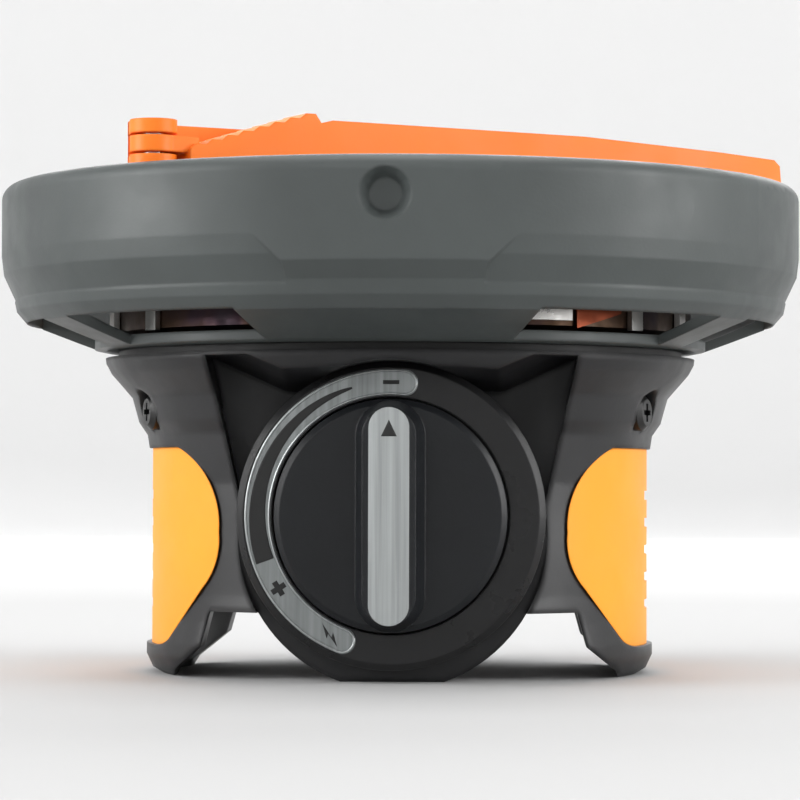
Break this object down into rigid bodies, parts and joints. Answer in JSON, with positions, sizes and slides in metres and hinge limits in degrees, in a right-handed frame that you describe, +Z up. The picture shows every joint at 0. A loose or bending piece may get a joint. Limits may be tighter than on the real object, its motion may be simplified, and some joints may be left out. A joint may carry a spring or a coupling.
{
  "type": "canister stove burner",
  "caption": "Screw-on burner base for a camping pot, with a vented pot collar, gripped body, flame dial with igniter, and a folded canister stabilizer on the rim.",
  "frame": {"origin": "centre of the canister thread's mouth, on the burner axis", "axes": "+Z up along the burner axis towards the pot, -Y towards the dial, +X to the dial's right"},
  "size_m": [0.104, 0.104, 0.0704],
  "materials": {
    "collar_plastic": "satin moulded, dark grey",
    "body_plastic": "satin moulded, near black",
    "bezel_plastic": "semi-gloss moulded",
    "dial_plastic": "satin moulded",
    "black_plastic": "moulded",
    "white_plastic": "moulded acetal",
    "orange_grip": "soft overmoulded rubber",
    "orange_plastic": "moulded nylon",
    "silver_trim": "brushed",
    "steel": "plain",
    "burner_steel": "plain, heat tinted",
    "black_steel": "black oxide",
    "aluminium": "turned",
    "brass": "turned",
    "black_rubber": "moulded",
    "lead_rubber": "extruded insulation",
    "ceramic_white": "glazed"
  },
  "bodies": {
    "base": {"collar_ring": "collar_plastic", "collar_gasket": "black_rubber", "collar_screws": "steel", "body_shell": "body_plastic", "grip_right": "orange_grip", "grip_left": "orange_grip", "body_screws": "black_steel", "base_cover": "body_plastic", "base_cover_screws": "steel", "knob_bezel": "bezel_plastic", "scale_plate": "silver_trim", "knob_seal": "black_rubber", "canister_connector": "aluminium", "connector_o_ring": "black_rubber", "depressor_pin": "brass", "gas_filter": "brass", "valve_body": "brass", "needle_packing_nut": "brass", "needle_o_ring": "black_rubber", "gas_jet": "brass", "mixing_tube": "steel", "burner_cup": "steel", "burner_port_plate": "burner_steel", "heat_shield": "burner_steel", "burner_posts": "steel", "igniter_body": "white_plastic", "electrode_insulator": "ceramic_white", "electrode_tip": "steel", "igniter_lead": "lead_rubber"},
    "dial": {"knob_dial": "dial_plastic", "knob_insert": "silver_trim", "knob_screw": "steel", "knob_stem": "brass", "igniter_cam": "white_plastic"},
    "needle_valve": {"needle": "steel"},
    "plunger": {"igniter_plunger": "black_plastic"},
    "stabilizer": {"stabilizer_hub": "orange_plastic", "stabilizer_leg_centre": "orange_plastic", "stabilizer_pivot_pins": "steel"},
    "leg_left": {"stabilizer_leg_left": "orange_plastic"},
    "leg_right": {"stabilizer_leg_right": "orange_plastic"}
  },
  "joints": [
    {"name": "knob_turn", "type": "hinge", "parent": "base", "child": "dial", "pos_m": [0, -0.03, 0.0165], "axis": [0, -1, 0], "range_deg": [0, 153]},
    {"name": "needle_travel", "type": "slide", "parent": "base", "child": "needle_valve", "axis": [0, -1, 0], "range_m": [0, 0.00032]},
    {"name": "igniter_plunger_travel", "type": "slide", "parent": "base", "child": "plunger", "axis": [0, 1, 0], "range_m": [0, 0.00195]},
    {"name": "stabilizer_lift", "type": "slide", "parent": "base", "child": "stabilizer", "axis": [0, 0, 1], "range_m": [0, 0.08]},
    {"name": "stabilizer_leg_left_swing", "type": "hinge", "parent": "stabilizer", "child": "leg_left", "pos_m": [-0.02632, -0.01243, 0.061], "axis": [0, 0, 1], "range_deg": [0, 120]},
    {"name": "stabilizer_leg_right_swing", "type": "hinge", "parent": "stabilizer", "child": "leg_right", "pos_m": [-0.02915, -0.03143, 0.061], "axis": [0, 0, 1], "range_deg": [-120, 0]}
  ],
  "couplings": [
    {"joint": "needle_travel", "follows": "knob_turn", "m_per_rad": 0.00011946},
    {"joint": "igniter_plunger_travel", "follows": "knob_turn", "m_per_rad": 0.00072837}
  ]
}
